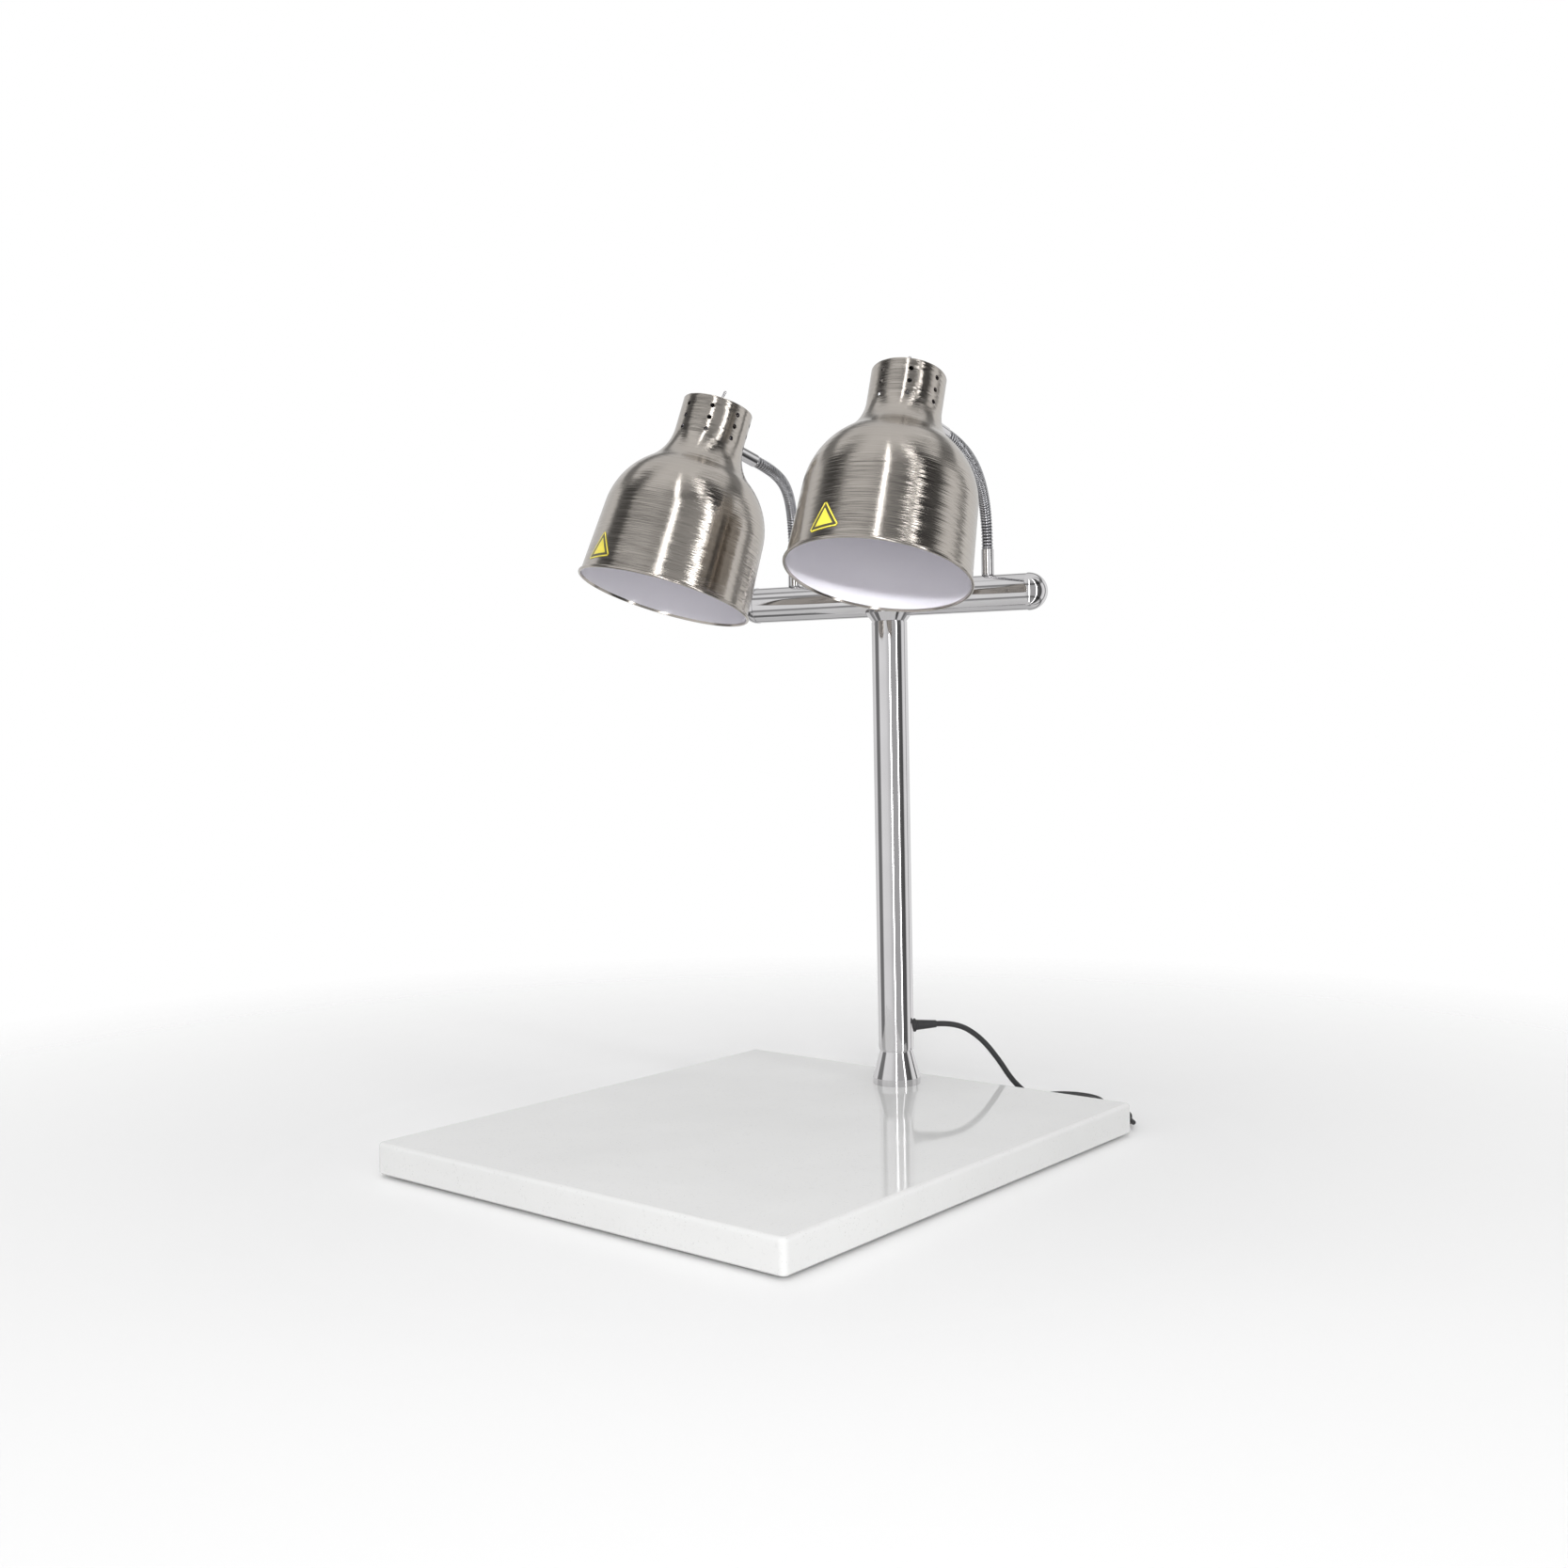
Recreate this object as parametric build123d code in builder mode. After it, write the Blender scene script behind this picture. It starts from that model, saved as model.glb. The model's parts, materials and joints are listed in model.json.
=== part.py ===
"""Twin-lamp food warmer: a stone slab, a chrome pole, a turning crossbar and two bell
lamps on flexible arms. Millimetres, +Z up, +X along the slab's rear edge, front at -Y.
The origin is on the table under the middle of the slab."""
import os
from math import cos, radians, sin, tan

from build123d import *

os.makedirs("parts", exist_ok=True)

# ---- slab and feet
slab_width = 500
slab_depth = 550
slab_thickness = 30
slab_edge_radius = 4
slab_corner_radius = 6
foot_height = 3
foot_radius = 12
foot_inset = 40
foot_chamfer = 0.6
slab_chamfer = 1.5
slab_top = foot_height + slab_thickness

# ---- pole
tube_radius = 19
tube_wall = 1.5
tube_bore = tube_radius - tube_wall
pole_y = 218
bar_height = slab_top + 520
saddle_drop = 25
pole_top = bar_height - saddle_drop
collar_radius = 25.5
collar_rim = 7
collar_cone_top = 35
collar_neck_radius = 17.6
collar_height = 39
collar_step = 1.2
collar_land = 1.8
collar_land_inset = 0.4
spigot_length = 10
fit = 0.05

# ---- fastening under the slab
stud_radius = 5
stud_grip = 30
stud_recess = 2
stud_chamfer = 0.8
stud_clearance = 1
washer_clearance = 0.3
washer_radius = 14
washer_thickness = 2
nut_thickness = 8
nut_flats = 17
counterbore_radius = 17
counterbore_depth = 14

# ---- crossbar
bar_turn = 15.5
bar_half = 153.5
cap_radius = 19.6
cap_wall = 1.6
saddle_top_drop = 14
saddle_radius = 25.5
nipple_radius = 6.5
nipple_bore = 4.5
plug_length = 12
nipple_clearance = 0.08
nipple_nut_flats = 18
nipple_nut_seat = 13.6
saddle_neck_inset = 0.6
cap_lip_wall = 1.8
cap_lip_length = 9

# ---- flexible arms
arm_spacing = 110
arm_radius = 6
arm_bore = 3.4
ferrule_radius = 6.6
ferrule_length = 27
ferrule_bore = 5
thread_radius = 4.9
thread_bore = 3.3
links_per_arm = 4
link_end_gap = 1.8
arm_nipple_length = 22
lock_nut_flats = 14
lock_nut_thickness = 4

# ---- lamps, measured down the lamp's own axis from the top of its neck
shade_wall = 1
neck_radius = 35
neck_length = 32
waist_radius = 49
waist_sweep = 50.7
dome_radius = 75
skirt_flare = 3.3
skirt_end = 196.5
rim_bead_radius = 2.3
rim_bead_depth = 197.6
vent_radius = 2.3
vent_rows = (10, 22, 34)
vent_columns = 8
arm_entry_depth = 30

# ---- supply cord
cord_radius = 3
cord_exit_height = slab_top + 61
cord_exit_angle = 52
relief_length = 26
plug_width = 26
plug_height = 16
plug_body = 36
plug_taper = 14
plug_nose = 10
pin_radius = 2.4
pin_spacing = 19
pin_length = 19


def save(name, piece, frame=Plane.XY):
    """Put a piece in its frame, label it and write its STEP file."""
    placed = piece.part.moved(frame.location)
    placed.label = name
    export_step(placed, f"parts/{name}.step")


def save_group(name, piece, frames):
    """Write one node that holds the same piece at several places."""
    group = Compound(children=[piece.part.moved(frame.location) for frame in frames])
    group.label = name
    export_step(group, f"parts/{name}.step")


def within(frame, inner):
    """A plane that is given in another plane's own coordinates."""
    return Plane(frame.location * inner.location)


# ================================================================ slab and feet
with BuildPart() as stone_slab:
    with BuildSketch(Plane.XY.offset(foot_height)):
        RectangleRounded(slab_width, slab_depth, slab_corner_radius)
    extrude(amount=slab_thickness)
    fillet(stone_slab.faces().sort_by(Axis.Z)[-1].edges(), slab_edge_radius)
    chamfer(stone_slab.faces().sort_by(Axis.Z)[0].edges(), slab_chamfer)
    with BuildSketch(Plane.XY.offset(foot_height)):
        with Locations((0, pole_y)):
            Circle(counterbore_radius)
    extrude(amount=counterbore_depth, mode=Mode.SUBTRACT)
    with BuildSketch(Plane.XY.offset(foot_height)):
        with Locations((0, pole_y)):
            Circle(stud_radius + stud_clearance)
    extrude(amount=slab_thickness, mode=Mode.SUBTRACT)
save("stone_slab", stone_slab)

with BuildPart() as rubber_feet:
    with BuildSketch():
        with GridLocations(slab_width - 2 * foot_inset, slab_depth - 2 * foot_inset, 2, 2):
            Circle(foot_radius)
    extrude(amount=foot_height)
    chamfer(rubber_feet.faces().group_by(Axis.Z)[0].edges(), foot_chamfer)
save("rubber_feet", rubber_feet)

# ================================================================ pole
pole_foot = Plane(origin=(0, pole_y, slab_top))

with BuildPart() as foot_collar:
    with BuildSketch(Plane.XZ):
        with BuildLine():
            Polyline(
                (0, 0),
                (collar_radius, 0),
                (collar_radius, collar_rim),
                (collar_neck_radius, collar_cone_top),
                (collar_neck_radius, collar_cone_top + collar_step),
                (tube_radius - collar_land_inset, collar_cone_top + collar_land),
                (tube_radius - collar_land_inset, collar_height),
                (tube_bore - fit, collar_height),
                (tube_bore - fit, collar_height + spigot_length),
                (0, collar_height + spigot_length),
                close=True,
            )
        make_face()
    revolve(axis=Axis.Z)
    with BuildSketch():
        Circle(stud_radius)
    extrude(amount=stud_grip, mode=Mode.SUBTRACT)
save("foot_collar", foot_collar, pole_foot)

washer_top = foot_height + counterbore_depth
with BuildPart() as base_stud:
    with BuildSketch(Plane.XY.offset(foot_height + stud_recess)):
        Circle(stud_radius)
    extrude(amount=slab_thickness - stud_recess + stud_grip)
    chamfer(base_stud.edges().filter_by(GeomType.CIRCLE), stud_chamfer)
save("base_stud", base_stud, Plane(origin=(0, pole_y, 0)))

with BuildPart() as base_washer:
    with BuildSketch(Plane.XY.offset(washer_top - washer_thickness)):
        Circle(washer_radius)
        Circle(stud_radius + washer_clearance, mode=Mode.SUBTRACT)
    extrude(amount=washer_thickness)
save("base_washer", base_washer, Plane(origin=(0, pole_y, 0)))

with BuildPart() as base_nut:
    with BuildSketch(Plane.XY.offset(washer_top - washer_thickness - nut_thickness)):
        RegularPolygon(nut_flats / 2, 6, major_radius=False)
        Circle(stud_radius, mode=Mode.SUBTRACT)
    extrude(amount=nut_thickness)
save("base_nut", base_nut, Plane(origin=(0, pole_y, 0)))

relief_axis = Plane(
    origin=(0, pole_y, cord_exit_height),
    x_dir=(sin(radians(cord_exit_angle)), -cos(radians(cord_exit_angle)), 0),
    z_dir=(cos(radians(cord_exit_angle)), sin(radians(cord_exit_angle)), 0),
)
relief_neck_radius = 5
relief_neck_clearance = 0.02
relief_root = 15.5
relief_flange_radius = 7.2
relief_flange_lift = 2.4
relief_shoulder_radius = 5.6
relief_tip_wall = 0.9

with BuildPart() as pole_tube:
    with BuildSketch(Plane(origin=(0, pole_y, slab_top + collar_height))):
        Circle(tube_radius)
        Circle(tube_bore, mode=Mode.SUBTRACT)
    extrude(amount=pole_top - slab_top - collar_height)
    with BuildSketch(relief_axis):
        Circle(relief_neck_radius)
    extrude(amount=tube_radius + 1, mode=Mode.SUBTRACT)
save("pole_tube", pole_tube)

with BuildPart() as pole_top_plug:
    with BuildSketch(Plane(origin=(0, pole_y, pole_top - plug_length))):
        Circle(tube_bore)
        Circle(nipple_radius + nipple_clearance, mode=Mode.SUBTRACT)
    extrude(amount=plug_length)
save("pole_top_plug", pole_top_plug)

# ================================================================ cord entry
relief_end = tube_radius + relief_length
relief_seat = tube_radius - 1.6
with BuildPart() as cord_strain_relief:
    with BuildSketch(Plane.XZ):
        with BuildLine():
            Polyline(
                (0, relief_root),
                (relief_neck_radius - relief_neck_clearance, relief_root),
                (relief_neck_radius - relief_neck_clearance, relief_seat),
                (relief_flange_radius, relief_seat),
                (relief_flange_radius, tube_radius + relief_flange_lift),
                (relief_shoulder_radius, tube_radius + relief_flange_lift + 1),
                (cord_radius + relief_tip_wall, relief_end),
                (0, relief_end),
                close=True,
            )
        make_face()
    revolve(axis=Axis.Z)
    # seat of the outer flange on the round pole
    with BuildSketch(Plane.XZ):
        Circle(tube_radius)
    extrude(amount=collar_radius, both=True, mode=Mode.SUBTRACT)
    with BuildSketch(Plane.XY.offset(relief_root - 1.5)):
        Circle(relief_neck_radius - relief_neck_clearance)
    extrude(amount=8)
save("cord_strain_relief", cord_strain_relief, relief_axis)

lead_radius = 2.6
lead_start = 13.9
with BuildPart() as pole_lead:
    with BuildLine() as pole_lead_path:
        FilletPolyline(
            (lead_start * cos(radians(cord_exit_angle)), lead_start * sin(radians(cord_exit_angle)), 0),
            (3, 4.3, 0),
            (0, 0, 30),
            (0, 0, pole_top - plug_length - 10 - cord_exit_height),
            radius=9,
        )
    with BuildSketch(Plane(pole_lead_path.line @ 0, z_dir=pole_lead_path.line % 0)):
        Circle(lead_radius)
    sweep()
save("pole_lead", pole_lead, Plane(origin=(0, pole_y, cord_exit_height)))

# ================================================================ turning crossbar
bar_frame = Plane(
    origin=(0, pole_y, bar_height),
    x_dir=(cos(radians(bar_turn)), sin(radians(bar_turn)), 0),
    z_dir=(0, 0, 1),
)

with BuildPart() as saddle_collar:
    with BuildSketch(Plane.XZ):
        with BuildLine():
            Polyline(
                (nipple_radius + fit, -saddle_drop),
                (tube_radius - saddle_neck_inset, -saddle_drop),
                (tube_radius - saddle_neck_inset, -saddle_drop + 1),
                (saddle_radius, -saddle_top_drop - 1),
                (saddle_radius, -saddle_top_drop + 1),
                (nipple_radius + fit, -saddle_top_drop + 1),
                close=True,
            )
        make_face()
    revolve(axis=Axis.Z)
    with BuildSketch(Plane.YZ.offset(-40)):
        Circle(tube_radius)
    extrude(amount=80, mode=Mode.SUBTRACT)
save("saddle_collar", saddle_collar, bar_frame)

with BuildPart() as crossbar_tube:
    with BuildSketch(Plane.YZ.offset(-bar_half)):
        Circle(tube_radius)
        Circle(tube_bore, mode=Mode.SUBTRACT)
    extrude(amount=2 * bar_half)
    with BuildSketch():
        Circle(nipple_radius + fit)
    extrude(amount=-tube_radius - 1, mode=Mode.SUBTRACT)
    with BuildSketch():
        with Locations((-arm_spacing, 0), (arm_spacing, 0)):
            Circle(thread_radius + fit)
    extrude(amount=tube_radius + 1, mode=Mode.SUBTRACT)
save("crossbar_tube", crossbar_tube, bar_frame)

with BuildPart() as saddle_nipple:
    with BuildSketch(Plane.XY.offset(-saddle_drop - plug_length - 8)):
        Circle(nipple_radius)
        Circle(nipple_bore, mode=Mode.SUBTRACT)
    extrude(amount=saddle_drop + plug_length)
save("saddle_nipple", saddle_nipple, bar_frame)

with BuildPart() as saddle_nuts:
    with BuildSketch(Plane.XY.offset(-saddle_drop - plug_length - 6)):
        RegularPolygon(nipple_nut_flats / 2, 6, major_radius=False)
        Circle(nipple_radius, mode=Mode.SUBTRACT)
    extrude(amount=5.9)
    with BuildSketch(Plane.XY.offset(-nipple_nut_seat)):
        RegularPolygon(nipple_nut_flats / 2, 6, major_radius=False)
        Circle(nipple_radius, mode=Mode.SUBTRACT)
    extrude(amount=4)
save("saddle_nuts", saddle_nuts, bar_frame)

with BuildPart() as end_cap:
    with BuildSketch(Plane.XZ):
        with BuildLine():
            Line((0, cap_radius), (0, cap_radius - cap_wall))
            CenterArc((0, 0), cap_radius - cap_wall, 90, -80)
            Line(
                ((cap_radius - cap_wall) * cos(radians(10)), (cap_radius - cap_wall) * sin(radians(10))),
                (tube_bore - cap_lip_wall, 0),
            )
            Line((tube_bore - cap_lip_wall, 0), (tube_bore - cap_lip_wall, -cap_lip_length))
            Line((tube_bore - cap_lip_wall, -cap_lip_length), (tube_bore - fit, -cap_lip_length))
            Line((tube_bore - fit, -cap_lip_length), (tube_bore - fit, 0))
            Line((tube_bore - fit, 0), (cap_radius, 0))
            CenterArc((0, 0), cap_radius, 0, 90)
        make_face()
    revolve(axis=Axis.Z)
right_end = Plane(origin=(bar_half, 0, 0), z_dir=(1, 0, 0))
left_end = Plane(origin=(-bar_half, 0, 0), z_dir=(-1, 0, 0))
save_group("end_caps", end_cap, [within(bar_frame, left_end), within(bar_frame, right_end)])

bar_lead_drop = -1
bar_lead_radius = 1.5
bar_lead_spread = 1.7
bar_lead_rise = 9
with BuildPart() as bar_leads:
    for sign in (-1, 1):
        with BuildLine() as bar_lead_path:
            FilletPolyline(
                (sign * bar_lead_spread, 0, -saddle_drop - plug_length - 7),
                (sign * bar_lead_spread, 0, bar_lead_drop),
                (sign * arm_spacing, 0, bar_lead_drop),
                (sign * arm_spacing, 0, bar_lead_rise),
                radius=6,
            )
        with BuildSketch(Plane(bar_lead_path.line @ 0, z_dir=bar_lead_path.line % 0)):
            Circle(bar_lead_radius)
        sweep()
save("bar_leads", bar_leads, bar_frame)

# ================================================================ arm ends
with BuildPart() as ferrule:
    with BuildSketch():
        Circle(ferrule_radius)
        Circle(ferrule_bore, mode=Mode.SUBTRACT)
    extrude(amount=ferrule_length)
    fillet(ferrule.edges().filter_by(GeomType.CIRCLE).sort_by(SortBy.RADIUS)[-2:], 0.7)

with BuildPart() as arm_nipple:
    with BuildSketch():
        Circle(thread_radius)
        Circle(thread_bore, mode=Mode.SUBTRACT)
    extrude(amount=arm_nipple_length)

with BuildPart() as lock_nut:
    with BuildSketch():
        RegularPolygon(lock_nut_flats / 2, 6, major_radius=False)
        Circle(thread_radius, mode=Mode.SUBTRACT)
    extrude(amount=lock_nut_thickness)

arm_feet = {
    "left": within(bar_frame, Plane(origin=(-arm_spacing, 0, tube_radius + 0.05))),
    "right": within(bar_frame, Plane(origin=(arm_spacing, 0, tube_radius + 0.05))),
}
save("left_base_ferrule", ferrule, arm_feet["left"])
save("right_base_ferrule", ferrule, arm_feet["right"])
save_group("base_nipples", arm_nipple, [foot.offset(-10) for foot in arm_feet.values()])
save_group("base_nuts", lock_nut, [foot.offset(-8) for foot in arm_feet.values()])

# ================================================================ lamp pieces
waist_centre = (neck_radius + waist_radius, -neck_length)
waist_end = radians(180 + waist_sweep)
dome_centre = (
    waist_centre[0] + (waist_radius + dome_radius) * cos(waist_end),
    waist_centre[1] + (waist_radius + dome_radius) * sin(waist_end),
)


def bell_line(inset):
    """Half outline of the bell at a depth below its outer face; returns its two ends."""
    top = (neck_radius - inset, 0)
    waist_top = (neck_radius - inset, -neck_length)
    flare = radians(skirt_flare)
    dome = dome_radius - inset
    skirt_top = (dome_centre[0] + dome * cos(flare), dome_centre[1] + dome * sin(flare))
    skirt_bottom = (skirt_top[0] + (skirt_end + skirt_top[1]) * tan(flare), -skirt_end)
    Line(top, waist_top)
    CenterArc(waist_centre, waist_radius + inset, 180, waist_sweep)
    CenterArc(dome_centre, dome, waist_sweep, skirt_flare - waist_sweep)
    Line(skirt_top, skirt_bottom)
    return top, skirt_bottom


with BuildPart() as shade:
    with BuildSketch(Plane.XZ):
        with BuildLine():
            outer_top, outer_bottom = bell_line(0)
            inner_top, inner_bottom = bell_line(shade_wall)
            Line(outer_top, inner_top)
            Line(outer_bottom, inner_bottom)
        make_face()
    revolve(axis=Axis.Z)
    with BuildSketch(Plane.XZ):
        with Locations((outer_bottom[0] + 0.9, -rim_bead_depth)):
            Circle(rim_bead_radius)
    revolve(axis=Axis.Z)
    for column in range(vent_columns):
        angle = radians(column * 360 / vent_columns)
        out = Plane(origin=(0, 0, 0), x_dir=(-sin(angle), cos(angle), 0), z_dir=(cos(angle), sin(angle), 0))
        with BuildSketch(out):
            if column:
                with Locations(*[(0, -row) for row in vent_rows]):
                    Circle(vent_radius)
            else:
                with Locations((0, -arm_entry_depth)):
                    Circle(thread_radius + fit)
        extrude(amount=neck_radius + 5, mode=Mode.SUBTRACT)

cap_top = -1
cap_plate = 1.5
cap_depth = 6
screw_y = 23.5
screw_radius = 1.5
screw_head_radius = 3
screw_head_height = 1.8
bushing_radius = 3
with BuildPart() as top_cap:
    with BuildSketch(Plane.XY.offset(cap_top)):
        Circle(neck_radius - shade_wall - fit)
    extrude(amount=-cap_depth)
    with BuildSketch(Plane.XY.offset(cap_top - cap_plate)):
        Circle(neck_radius - shade_wall - 1.2)
    extrude(amount=-cap_depth, mode=Mode.SUBTRACT)
    fillet(top_cap.faces().sort_by(Axis.Z)[-1].edges(), 1)
    with BuildSketch(Plane.XY.offset(cap_top)):
        Circle(bushing_radius + fit)
        with Locations((0, -screw_y), (0, screw_y)):
            Circle(screw_radius + 0.1)
    extrude(amount=-cap_plate, mode=Mode.SUBTRACT)

cap_under = cap_top - cap_plate
with BuildPart() as cap_screws:
    for place_y in (-screw_y, screw_y):
        with BuildSketch(Plane.XY.offset(cap_top)):
            with Locations((0, place_y)):
                Circle(screw_head_radius)
        extrude(amount=screw_head_height)
        with BuildSketch(Plane.XY.offset(cap_top)):
            with Locations((0, place_y)):
                Circle(screw_radius)
        extrude(amount=-cap_depth)
    fillet(cap_screws.faces().group_by(Axis.Z)[-1].edges(), 0.9)
    with BuildSketch(Plane.XY.offset(cap_top + screw_head_height)):
        with Locations((0, -screw_y), (0, screw_y)):
            Rectangle(0.8, 4)
    extrude(amount=-0.8, mode=Mode.SUBTRACT)

bracket_bottom = -20
bracket_width = 12
bracket_sheet = 1.2
bracket_half = 19
bracket_foot = 27
with BuildPart() as holder_bracket:
    with BuildSketch(Plane.YZ.offset(-bracket_width / 2)):
        with BuildLine():
            Polyline(
                (-bracket_foot, cap_under),
                (-bracket_half, cap_under),
                (-bracket_half, bracket_bottom + bracket_sheet),
                (bracket_half, bracket_bottom + bracket_sheet),
                (bracket_half, cap_under),
                (bracket_foot, cap_under),
                (bracket_foot, cap_under - bracket_sheet),
                (bracket_half + bracket_sheet, cap_under - bracket_sheet),
                (bracket_half + bracket_sheet, bracket_bottom),
                (-bracket_half - bracket_sheet, bracket_bottom),
                (-bracket_half - bracket_sheet, cap_under - bracket_sheet),
                (-bracket_foot, cap_under - bracket_sheet),
                close=True,
            )
        make_face()
    extrude(amount=bracket_width)
    with BuildSketch(Plane.XY.offset(cap_under)):
        with Locations((0, -screw_y), (0, screw_y)):
            Circle(screw_radius + 0.02)
    extrude(amount=-bracket_sheet, mode=Mode.SUBTRACT)

switch_pivot = 5
switch_depth = 10
bushing_top = 9
terminal_spacing = 4.7
terminal_length = 4
lever_ball = 1.95
with BuildPart() as switch_body:
    with BuildSketch(Plane.XY.offset(cap_under - switch_depth)):
        RectangleRounded(13, 8, 0.8)
    extrude(amount=switch_depth)
    with BuildSketch(Plane.XY.offset(cap_under)):
        Circle(bushing_radius)
    extrude(amount=bushing_top - cap_under)
    with BuildSketch(Plane.XY.offset(cap_under - switch_depth - terminal_length)):
        with Locations((-terminal_spacing, 0), (0, 0), (terminal_spacing, 0)):
            Rectangle(0.8, 2)
    extrude(amount=terminal_length)
    with BuildSketch(Plane.XZ):
        with BuildLine():
            Polyline((0, 2.4), (2.05, 2.4), (2.05, 7.4), (2.7, 9.1), (0, 9.1), close=True)
        make_face()
    revolve(axis=Axis.Z, mode=Mode.SUBTRACT)

with BuildPart() as switch_nut:
    with BuildSketch(Plane.XY.offset(cap_top)):
        RegularPolygon(4.2, 6, major_radius=False)
        Circle(bushing_radius, mode=Mode.SUBTRACT)
    extrude(amount=2)

with BuildPart() as switch_lever:
    with BuildSketch(Plane.XZ):
        with BuildLine():
            Polyline(
                (0, switch_pivot),
                (1.1, switch_pivot),
                (1.1, bushing_top),
                (1.5, 18.2),
                (1.1, 19.2),
                (0, 19.4),
                close=True,
            )
        make_face()
    revolve(axis=Axis.Z)
    with Locations((0, 0, switch_pivot)):
        Sphere(lever_ball)

holder_radius = 19.5
holder_height = 36
bulb_top = bracket_bottom - 8
bulb_glass_top = bulb_top - 25
bulb_radius = 40
glass_wall = 1.2
glass_height = 91
glass_neck_radius = 13.4
bulb_cap_radius = 13.2
bulb_cap_bore = 12.4
bulb_cap_hollow = 17
holder_bore = 14
holder_floor = 8
with BuildPart() as lamp_holder:
    with BuildSketch(Plane.XY.offset(bracket_bottom)):
        Circle(holder_radius)
    extrude(amount=-holder_height)
    chamfer(lamp_holder.edges().filter_by(GeomType.CIRCLE).sort_by(Axis.Z)[-1], 3)
    with BuildSketch(Plane.XY.offset(bracket_bottom - holder_height)):
        Circle(holder_bore)
    extrude(amount=holder_height - holder_floor, mode=Mode.SUBTRACT)

with BuildPart() as bulb_cap:
    with BuildSketch(Plane.XZ):
        with BuildLine():
            Polyline(
                (0, bulb_top),
                (5, bulb_top),
                (6, bulb_top - 2),
                (11.5, bulb_top - 4.5),
                (bulb_cap_radius, bulb_top - 6.5),
                (bulb_cap_radius, bulb_glass_top),
                (0, bulb_glass_top),
                close=True,
            )
        make_face()
    revolve(axis=Axis.Z)
    with BuildSketch(Plane.XY.offset(bulb_glass_top)):
        Circle(bulb_cap_bore)
    extrude(amount=bulb_cap_hollow, mode=Mode.SUBTRACT)


def bulb_line(inset):
    """Half outline of the bulb's glass at a depth below its outer face, open at its neck."""
    shoulder = (14.5 - inset, bulb_glass_top - 8)
    widest = (bulb_radius - inset, bulb_glass_top - 68)
    face = bulb_glass_top - glass_height + inset
    Line((glass_neck_radius - inset, bulb_glass_top), shoulder)
    Bezier(shoulder, (17.5 - inset, bulb_glass_top - 30), (widest[0], bulb_glass_top - 46), widest)
    Bezier(widest, (widest[0], bulb_glass_top - 84), (22, face), (0, face))


with BuildPart() as bulb_glass:
    with BuildSketch(Plane.XZ):
        with BuildLine():
            bulb_line(0)
            bulb_line(glass_wall)
            Line((glass_neck_radius, bulb_glass_top), (glass_neck_radius - glass_wall, bulb_glass_top))
            Line((0, bulb_glass_top - glass_height), (0, bulb_glass_top - glass_height + glass_wall))
        make_face()
    revolve(axis=Axis.Z)

lead_turn = 22.3
lead_height = cap_under - switch_depth - 1.5
with BuildPart() as lamp_lead:
    with BuildLine() as lamp_lead_path:
        FilletPolyline(
            (24.8, 0, -arm_entry_depth),
            (lead_turn, 0, -arm_entry_depth),
            (lead_turn, 0, lead_height),
            (7.4, 0, lead_height),
            radius=1.8,
        )
    with BuildSketch(Plane(lamp_lead_path.line @ 0, z_dir=lamp_lead_path.line % 0)):
        Circle(1.5)
    sweep()

ferrule_seat = 0.6
with BuildPart() as top_ferrule:
    add(ferrule.part.moved(Location((0, 0, neck_radius - ferrule_seat))))
    with BuildSketch(Plane.YZ.offset(-20)):
        Circle(neck_radius + 0.35)
    extrude(amount=40, mode=Mode.SUBTRACT)

# where each lamp hangs: neck top from the crossbar's middle, and the lean of its axis
lamp_poses = {
    "left": {"at": (-109, -182, 182), "lean": (12.2, 14.0), "arm": 155, "tip": 12.5},
    "right": {"at": (101.5, -210, 185.5), "lean": (3.2, 18.3), "arm": 160, "tip": -12.5},
}
lamp_parts = {
    "shade": shade,
    "top_cap": top_cap,
    "cap_screws": cap_screws,
    "holder_bracket": holder_bracket,
    "lamp_holder": lamp_holder,
    "bulb_cap": bulb_cap,
    "bulb_glass": bulb_glass,
    "switch_body": switch_body,
    "switch_nut": switch_nut,
    "lamp_lead": lamp_lead,
}
handle = {"left": (82, 48), "right": (70, 46)}
link_cap_angle = radians(62)

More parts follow.
